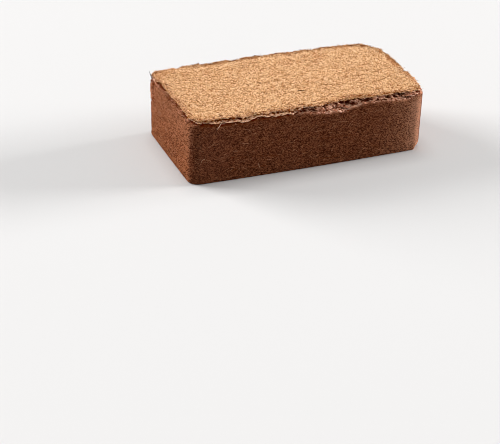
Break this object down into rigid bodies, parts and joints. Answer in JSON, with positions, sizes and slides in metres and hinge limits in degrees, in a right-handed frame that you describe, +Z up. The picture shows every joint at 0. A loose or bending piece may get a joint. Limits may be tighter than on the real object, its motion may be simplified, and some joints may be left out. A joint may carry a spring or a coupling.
{
  "type": "coconut coir brick",
  "caption": "Rectangular block of pressed coconut coir with smooth, slightly bulging walls, rounded upright corners, a ragged top crust and a flat base.",
  "frame": {"origin": "centre of the base, on the surface that the block rests on", "axes": "+X along the length, +Y to the back, +Z up"},
  "size_m": [0.2, 0.103, 0.0539],
  "materials": {
    "pressed_coir": "dry, matt, fibrous; sandy on the broad faces, darker and smoother on the walls"
  },
  "bodies": {
    "root": {"coir_block": "pressed_coir"}
  },
  "joints": []
}
